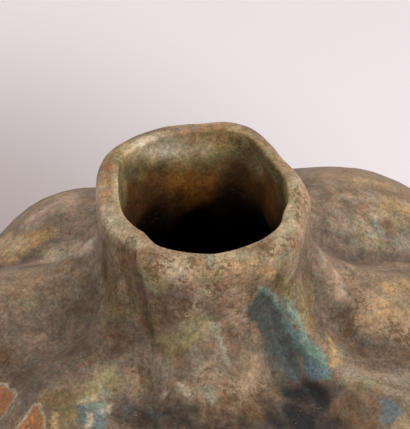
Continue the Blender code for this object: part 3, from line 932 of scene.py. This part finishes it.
def washed_colours(skin, crests, strays, glaze):
    """Each point's colour with all the washes laid over the ground."""
    shade = ground_colours(skin, crests, glaze)
    cover = numpy.clip(WASH_COVER + skin.clouds(BREAK_WAVES) * WASH_BREAKS, 0, 1)
    loose = [strays.wash() for _ in range(STRAY_WASHES)]
    drawn = [wash._replace(lines=skin.laid(wash.lines)) for wash in WASHES]
    for wash in loose + drawn:
        half = wash.softness * MM / 2
        share = smooth_steps(half, -half, skin.gap(wash.lines)) * wash.strength * cover
        shade += share[:, None] * (numpy.array(getattr(glaze, wash.colour)) - shade)
    return shade


class Painter:
    """Builds one material's nodes, each method adding a step and returning its output socket."""

    def __init__(self, name):
        self.material = bpy.data.materials.new(name)
        self.material.use_nodes = True
        self.tree = self.material.node_tree
        self.shader = self.tree.nodes["Principled BSDF"]
        self.place = self.node("ShaderNodeTexCoord").outputs["Object"]

    def node(self, kind, inputs=None, **settings):
        """A node with its settings. An input is a value or another node's output."""
        made = self.tree.nodes.new(kind)
        for name, value in settings.items():
            setattr(made, name, value)
        for key, value in (inputs or {}).items():
            if isinstance(value, bpy.types.NodeSocket):
                self.tree.links.new(value, made.inputs[key])
            else:
                made.inputs[key].default_value = value
        return made

    def noise(self, size, detail=3.0, rough=0.5, place=None, wander=0.0):
        """Cloudy noise whose features are about size metres across."""
        made = self.node(
            "ShaderNodeTexNoise",
            {
                "Vector": place or self.place,
                "Scale": 1 / size,
                "Detail": detail,
                "Roughness": rough,
                "Distortion": wander,
            },
        )
        return made.outputs["Fac"]

    def attribute(self, name, output="Fac"):
        return self.node("ShaderNodeAttribute", attribute_name=name).outputs[output]

    def maths(self, operation, first, second=0.0, third=0.0):
        return self.node("ShaderNodeMath", {0: first, 1: second, 2: third}, operation=operation).outputs[0]

    def scaled(self, place, factors):
        """Coordinates multiplied along each axis."""
        made = self.node("ShaderNodeVectorMath", {0: place, 1: factors}, operation="MULTIPLY")
        return made.outputs["Vector"]

    def ramp(self, value, low, high, bottom=0.0, top=1.0):
        """The value brought smoothly from low..high to bottom..top, and held there outside it."""
        made = self.node(
            "ShaderNodeMapRange",
            {"Value": value, "From Min": low, "From Max": high, "To Min": bottom, "To Max": top},
            interpolation_type="SMOOTHSTEP",
        )
        return made.outputs["Result"]

    def mottle(self, clouds, bottom=0.0, top=1.0):
        """Noise brought from the range that it mostly keeps to, to bottom..top."""
        return self.ramp(clouds, *NOISE_RANGE, bottom, top)

    def mix(self, share, under, over, blend="MIX"):
        """Colours mixed by a share. Colours are sockets or tuples."""
        made = self.node("ShaderNodeMix", data_type="RGBA", blend_type=blend)
        for socket, value in ((made.inputs[0], share), (made.inputs[6], under), (made.inputs[7], over)):
            if isinstance(value, bpy.types.NodeSocket):
                self.tree.links.new(value, socket)
            elif isinstance(value, float):
                socket.default_value = value
            else:
                socket.default_value = (*value, 1)
        return made.outputs[2]

    def toned(self, base, tone):
        """A colour made lighter or darker by a factor."""
        shade = self.node("ShaderNodeCombineColor", {"Red": tone, "Green": tone, "Blue": tone})
        return self.mix(1.0, base, shade.outputs["Color"], "MULTIPLY")

    def finish(self, base, rough, height, depth):
        """Feeds the shader with colour and roughness, and with a bump of a height times a depth in metres."""
        self.tree.links.new(base, self.shader.inputs["Base Color"])
        self.tree.links.new(rough, self.shader.inputs["Roughness"])
        bump = self.node("ShaderNodeBump", {"Height": height, "Distance": depth, "Strength": 1.0})
        self.tree.links.new(bump.outputs["Normal"], self.shader.inputs["Normal"])
        return self.material


def darker(tint, share):
    return tuple(share * part for part in tint)


def glaze_material(glaze):
    """Layered matt glaze: mottled washes, crisp runs over them, iron speckle, and bare clay at the foot."""
    paint = Painter("mottled_matt_glaze")
    grain = paint.noise(1.3 * MM, 4.0, 0.65)
    edges = paint.noise(2.4 * MM, 5.0, 0.7)

    # The washes, mottled in tone and in hue, at the scales of a fingertip, a brush and a grain. The tone is
    # evener behind the neck.
    tone = paint.mottle(paint.noise(7 * MM, 8.0, 0.66, wander=0.3), 0.74, 1.26)
    tone = paint.maths("MULTIPLY", tone, paint.mottle(edges, 0.78, 1.22))
    tone = paint.maths("MULTIPLY", tone, paint.mottle(paint.noise(0.9 * MM, 3.0, 0.7), 0.72, 1.28))
    depth = paint.node("ShaderNodeSeparateXYZ", {"Vector": paint.place}).outputs["Y"]
    evenness = paint.ramp(depth, *EVEN_DEPTHS, 0.0, EVENNESS)
    tone = paint.mix(evenness, paint.toned((1.0, 1.0, 1.0), tone), (1.0, 1.0, 1.0))
    hue = paint.ramp(paint.noise(4 * MM, 6.0, 0.68), 0.35, 0.65)
    base = paint.attribute("wash", "Color")
    base = paint.mix(1.0, base, paint.mix(hue, (1.09, 0.97, 0.87), (0.94, 1.02, 0.99)), "MULTIPLY")

    # The crisp glazes over them, with a pale rim round the bloom.
    thick = None
    for layer in GLAZES:
        ragged = paint.maths("MULTIPLY_ADD", edges, layer.raggedness * 2, -layer.raggedness)
        edge = paint.maths("ADD", paint.attribute(layer.colour), ragged)
        if layer.colour == "bloom":
            base = paint.mix(paint.ramp(edge, -1.3, -0.7, 0.0, 0.55), base, glaze.cream)
        mask = paint.ramp(edge, -layer.softness, layer.softness, 0.0, layer.strength)
        base = paint.mix(mask, base, getattr(glaze, layer.colour))
        if layer.thick:
            thick = mask if thick is None else paint.maths("MAXIMUM", thick, mask)
    base = paint.mix(1.0, base, tone, "MULTIPLY")

    # Iron specks in drifts, thick in their clusters.
    cluster = paint.ramp(paint.attribute("speckles"), -3.5, 1.5, 0.0, 0.11)
    patches = paint.ramp(paint.noise(9 * MM, 4.0, 0.6), 0.4, 0.7, -0.10, 0.0)
    spots = paint.maths("ADD", paint.noise(1.4 * MM, 4.0, 0.75), paint.maths("ADD", cluster, patches))
    speckle = paint.ramp(spots, 0.53, 0.66, 0.0, 0.75)
    base = paint.mix(speckle, base, glaze.speckle)

    # Pale mineral flecks, thick in their clusters.
    cluster = paint.ramp(paint.attribute("flecks"), -2.0, 3.0, -0.12, 0.0)
    chalk = paint.ramp(paint.maths("ADD", paint.noise(0.8 * MM, 3.0, 0.7), cluster), 0.62, 0.74, 0.0, 0.6)
    base = paint.mix(chalk, base, glaze.chalk)

    # Bare clay below the glaze's lower end and under the floor.
    flow = paint.scaled(paint.attribute("flow", "Vector"), GLAZE_END_FLOW)
    wander = paint.noise(1.0, 4.0, 0.6, place=flow)
    drop = paint.maths("MULTIPLY_ADD", wander, GLAZE_END_WANDER, paint.attribute("drop"))
    whole = WALL.lip - WALL.floor_edge
    bare = paint.ramp(drop, *(whole - height for height in GLAZE_END_FADE))
    clay = paint.mix(paint.mottle(grain), glaze.clay, darker(glaze.clay, 0.8))
    base = paint.mix(bare, base, clay)

    # Thick glaze is glossier and bare clay rougher. Flecks stand proud and specks sink in.
    rough = paint.mottle(grain, 0.5, 0.66)
    rough = paint.maths("SUBTRACT", rough, paint.maths("MULTIPLY", thick, 0.12))
    rough = paint.maths("MULTIPLY_ADD", bare, 0.25, rough)
    height = paint.maths("ADD", grain, paint.maths("SUBTRACT", chalk, speckle))
    paint.shader.inputs["Specular IOR Level"].default_value = 0.18
    return paint.finish(base, rough, height, 0.18 * MM)


def clay_material(glaze):
    """Bare, trimmed stoneware: warm, rough, with dark iron grit."""
    paint = Painter("bare_stoneware")
    clouds = paint.noise(9 * MM, 5.0, 0.6)
    grit = paint.ramp(paint.noise(0.9 * MM, 3.0, 0.6), 0.6, 0.7)
    base = paint.mix(paint.mottle(clouds), glaze.clay, darker(glaze.clay, 0.72))
    base = paint.mix(paint.maths("MULTIPLY", grit, 0.6), base, glaze.umber)
    rough = paint.mottle(clouds, 0.8, 0.92)
    rings = paint.noise(1.1 * MM, 2.0, 0.5, place=paint.scaled(paint.place, (0.4, 0.4, 1.0)))
    return paint.finish(base, rough, rings, 0.25 * MM)


def turned(rows, steps):
    """A mesh turned about Z from an open outline of (place, drop) rows, each point keeping its drop."""
    mesh = bmesh.new()
    layer = mesh.verts.layers.float.new("drop")
    verts = []
    for place, drop in rows:
        vert = mesh.verts.new((place.x, 0, place.y))
        vert[layer] = drop
        verts.append(vert)
    for before, after in zip(verts, verts[1:]):
        mesh.edges.new((before, after))
    bmesh.ops.spin(
        mesh,
        geom=mesh.verts[:] + mesh.edges[:],
        cent=(0, 0, 0),
        axis=(0, 0, 1),
        angle=math.tau,
        steps=steps,
        use_merge=True,
    )
    bmesh.ops.remove_doubles(mesh, verts=mesh.verts, dist=SAME_PLACE)
    bmesh.ops.recalc_face_normals(mesh, faces=mesh.faces)
    return mesh


def hand_relief(point, form):
    """The unevenness that hands leave: broad pinches and smaller dabs."""
    broad = noise.noise(point * PINCH_WAVES) + THUMB_SHARE * noise.noise(point * THUMB_WAVES)
    small = noise.noise(point * DAB_WAVES) * DAB_STRENGTH
    return form.hand_marks * (broad * PINCH_STRENGTH + small)


def held_in_box(point):
    """The point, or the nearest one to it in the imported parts' box."""
    low, high = CAD_BOX
    return Vector(min(max(value, least), most) for value, least, most in zip(point, low, high))


def make_object(name, mesh, material):
    """Makes the mesh a smooth object of the vase."""
    data = bpy.data.meshes.new(name)
    mesh.to_mesh(data)
    mesh.free()
    data.materials.append(material)
    data.shade_smooth()
    piece = bpy.data.objects.new(name, data)
    bpy.context.scene.collection.objects.link(piece)
    return piece


def keep_attribute(data, name, kind, values):
    """Keeps one value for each point of the mesh, for its material to read."""
    field = "color" if kind == "FLOAT_COLOR" else "value"
    flat = numpy.asarray(values, dtype=numpy.float32).ravel()
    data.attributes.new(name, kind, "POINT").data.foreach_set(field, flat)


class VASE_OT_body(bpy.types.Operator):
    """Makes the glazed body: floor, bowl, shoulder, neck and lip in one clay wall"""

    bl_idname = "gourd_vase.body"
    bl_label = "Glazed Body"

    def execute(self, context):
        form = context.scene.gourd_vase_form
        glaze = context.scene.gourd_vase_glaze
        mesh = turned(WALL.outline(), form.turn_steps)
        drop_layer = mesh.verts.layers.float["drop"]
        flow_layer = mesh.verts.layers.float_vector.new("flow")
        crests = []
        for vert in mesh.verts:
            azimuth = math.atan2(vert.co.y, vert.co.x)
            below_lip = lip_distance(vert.co)
            share = ribbing(below_lip, vert.co.z - FLOOR_HEIGHT)
            crests.append(rib_rise(azimuth, below_lip) * share + PLAIN_CREST * (1 - share))
            vert[flow_layer] = (math.cos(azimuth), math.sin(azimuth), vert[drop_layer])
            vert.co = pushed(vert.co, form)
        mesh.normal_update()
        skin = Skin(mesh, drop_layer, View(context.scene.gourd_vase_stage))
        strays = Strays(form)
        edges = {}
        for layer in GLAZES:
            lines = skin.laid(layer.lines) + strays.lines(layer.strays, GLAZE_HALVES, STRAY_SPOTS)
            edges[layer.colour] = -skin.gap(lines)
        for name, clusters in (("speckles", SPECKLES), ("flecks", FLECKS)):
            lines = skin.laid(clusters) + strays.lines(STRAY_CLUSTERS, CLUSTER_HALVES)
            edges[name] = -skin.gap(lines)
        shade = washed_colours(skin, numpy.array(crests), strays, glaze)
        self.raise_surface(mesh, skin, edges, form)
        body = make_object("glazed_body", mesh, glaze_material(glaze))
        keep_attribute(body.data, "wash", "FLOAT_COLOR", numpy.column_stack([shade, numpy.ones(len(shade))]))
        for name, edge in edges.items():
            keep_attribute(body.data, name, "FLOAT", numpy.clip(edge, -EDGE_REACH, EDGE_REACH) / MM)
        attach(body, "root")
        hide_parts("base_slab", "lower_bowl", "shoulder_shell", "neck_collar")
        return {"FINISHED"}

    @staticmethod
    def raise_surface(mesh, skin, edges, form):
        """Moves the points for what hands and thick glaze leave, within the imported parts' box."""
        rises = numpy.array([hand_relief(vert.co, form) for vert in mesh.verts])
        for press in PRESSES:
            half = press.softness * MM / 2
            gap = skin.gap(skin.laid(press.lines), steady=True)
            rises += smooth_steps(half, -half, gap) * press.rise * MM
        thick = numpy.max([edges[layer.colour] for layer in GLAZES if layer.thick], axis=0)
        rises += smooth_steps(*THICK_EDGE, thick) * form.glaze_depth
        rises *= smooth_steps(FLOOR_HEIGHT, FLOOR_HEIGHT + RELIEF_FADE, skin.places[:, 2])
        for vert, rise in zip(mesh.verts, rises):
            vert.co = held_in_box(vert.co + vert.normal * rise)


def rounded_edge(middle, first):
    """A quarter turn of the foot's lower edge about a middle radius, from its first angle in degrees."""
    turns = [math.radians(first + 90 * step / BEND_STEPS) for step in range(BEND_STEPS + 1)]
    return [(middle + FOOT_BEND * math.sin(turn), FOOT_BEND - FOOT_BEND * math.cos(turn)) for turn in turns]


class VASE_OT_foot(bpy.types.Operator):
    """Makes the trimmed foot ring of bare clay"""

    bl_idname = "gourd_vase.foot"
    bl_label = "Bare Foot"

    def execute(self, context):
        flare = FOOT_TOP.x - FOOT_OUTER
        seat = FLOOR_HEIGHT + FOOT_OVERLAP
        outline = rounded_edge(FOOT_OUTER - FOOT_BEND, 0)
        outline += [(FOOT_OUTER + flare * WAIST_FLARE, WAIST_HEIGHT), (FOOT_OUTER + flare, seat)]
        outline += [(FOOT_INNER - flare, seat), (FOOT_INNER - flare * WAIST_FLARE, WAIST_HEIGHT)]
        outline += rounded_edge(FOOT_INNER + FOOT_BEND, -90)
        rows = [(Vector(point), 0.0) for point in outline + outline[:1]]
        mesh = turned(rows, context.scene.gourd_vase_form.turn_steps // 2)
        foot = make_object("bare_foot", mesh, clay_material(context.scene.gourd_vase_glaze))
        foot.data.set_sharp_from_angle(angle=math.radians(50))
        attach(foot, "root")
        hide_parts("foot_ring")
        return {"FINISHED"}


def floor_material(stage):
    """Pale paper with a painted soft shadow in a wide pool behind the vase's left side."""
    paint = Painter("pale_paper")
    clouds = paint.mottle(paint.noise(0.35, 2.0, 0.5), 0.98, 1.0)
    base = paint.toned(tuple(stage.floor_colour), clouds)
    # Painted shadow: the paper darkens towards the tint nearer the pool's middle.
    away = paint.node("ShaderNodeVectorMath", {0: paint.place, 1: PAINTED_SHADOW_MIDDLE}, operation="DISTANCE")
    shade = paint.mix(paint.ramp(away.outputs["Value"], *PAINTED_SHADOW_REACH), PAINTED_SHADOW_TINT, (1.0, 1.0, 1.0))
    base = paint.mix(1.0, base, shade, "MULTIPLY")
    rough = paint.mottle(paint.noise(2 * MM), 0.8, 0.9)
    return paint.finish(base, rough, paint.noise(0.6 * MM), 0.05 * MM)


class VASE_OT_stage(bpy.types.Operator):
    """Makes the pale floor, the soft light and the camera"""

    bl_idname = "gourd_vase.stage"
    bl_label = "Studio"

    def execute(self, context):
        scene = context.scene
        stage = scene.gourd_vase_stage
        mesh = bmesh.new()
        bmesh.ops.create_circle(mesh, cap_ends=True, segments=PAPER_SIDES, radius=PAPER_RADIUS)
        floor = make_object("floor", mesh, floor_material(stage))
        self.hang_lamp(scene, stage)
        self.light_world(scene, stage)
        self.place_camera(scene, stage)
        scene.view_settings.view_transform = "Standard"
        return {"FINISHED"}

    @staticmethod
    def hang_lamp(scene, stage):
        """One soft, round lamp above the vase, a little to the right and towards the camera."""
        lamp = bpy.data.lights.new("key_lamp", "AREA")
        lamp.shape = "DISK"
        lamp.size = KEY_SIZE
        lamp.energy = stage.key_power
        lamp.color = KEY_TINT
        holder = bpy.data.objects.new("key_lamp", lamp)
        holder.location = KEY_PLACE
        holder.rotation_euler = (Vector(KEY_AIM) - Vector(KEY_PLACE)).to_track_quat("-Z", "Y").to_euler()
        scene.collection.objects.link(holder)

    @staticmethod
    def light_world(scene, stage):
        """Even light from all round, which the camera, glossy and clear surfaces see as pale paper."""
        world = bpy.data.worlds.new("studio")
        scene.world = world
        world.use_nodes = True
        nodes = world.node_tree.nodes
        links = world.node_tree.links
        output = nodes["World Output"]
        even = nodes["Background"]
        even.inputs["Color"].default_value = (*FILL_TINT, 1)
        even.inputs["Strength"].default_value = stage.fill
        shown = nodes.new("ShaderNodeBackground")
        shown.inputs["Color"].default_value = (*stage.floor_colour, 1)
        ray = nodes.new("ShaderNodeLightPath")
        seen = ray.outputs["Is Camera Ray"]
        for kind in ("Is Glossy Ray", "Is Transmission Ray"):
            add = nodes.new("ShaderNodeMath")
            add.operation = "MAXIMUM"
            links.new(seen, add.inputs[0])
            links.new(ray.outputs[kind], add.inputs[1])
            seen = add.outputs[0]
        mix = nodes.new("ShaderNodeMixShader")
        links.new(seen, mix.inputs[0])
        links.new(even.outputs[0], mix.inputs[1])
        links.new(shown.outputs[0], mix.inputs[2])
        links.new(mix.outputs[0], output.inputs["Surface"])

    @staticmethod
    def place_camera(scene, stage):
        """Looks down on the neck as the photograph does, with the body running out of the frame."""
        data = bpy.data.cameras.new("camera")
        camera = bpy.data.objects.new("camera", data)
        scene.collection.objects.link(camera)
        scene.camera = camera
        camera.location = View(stage).place
        camera.rotation_euler = Euler((math.pi / 2 - stage.elevation, 0, 0))
        data.sensor_width = 36
        data.lens = data.sensor_width * stage.distance / (FRAME_HIGH * PIXEL)
        data.clip_start = 0.01


class VASE_PT_panel(bpy.types.Panel):
    """Lists the vase's makers in the 3D view's sidebar"""

    bl_label = "Gourd Vase"
    bl_idname = "VASE_PT_panel"
    bl_space_type = "VIEW_3D"
    bl_region_type = "UI"
    bl_category = "Gourd Vase"

    def draw(self, context):
        for operator in OPERATORS:
            self.layout.operator(operator.bl_idname)
        for name, kind in GROUPS.items():
            column = self.layout.column()
            for setting in kind.__annotations__:
                column.prop(getattr(context.scene, name), setting)


GROUPS = {"gourd_vase_form": VaseForm, "gourd_vase_glaze": VaseGlaze, "gourd_vase_stage": VaseStage}
OPERATORS = (VASE_OT_body, VASE_OT_foot, VASE_OT_stage)


def register():
    for group in (*GROUPS.values(), *OPERATORS, VASE_PT_panel):
        bpy.utils.register_class(group)
    for name, group in GROUPS.items():
        setattr(bpy.types.Scene, name, PointerProperty(type=group))


def unregister():
    for name in GROUPS:
        delattr(bpy.types.Scene, name)
    for group in (VASE_PT_panel, *reversed(OPERATORS), *reversed(GROUPS.values())):
        bpy.utils.unregister_class(group)


def main():
    register()
    bpy.ops.gourd_vase.body()
    bpy.ops.gourd_vase.foot()
    bpy.ops.gourd_vase.stage()


if __name__ == "__main__":
    main()
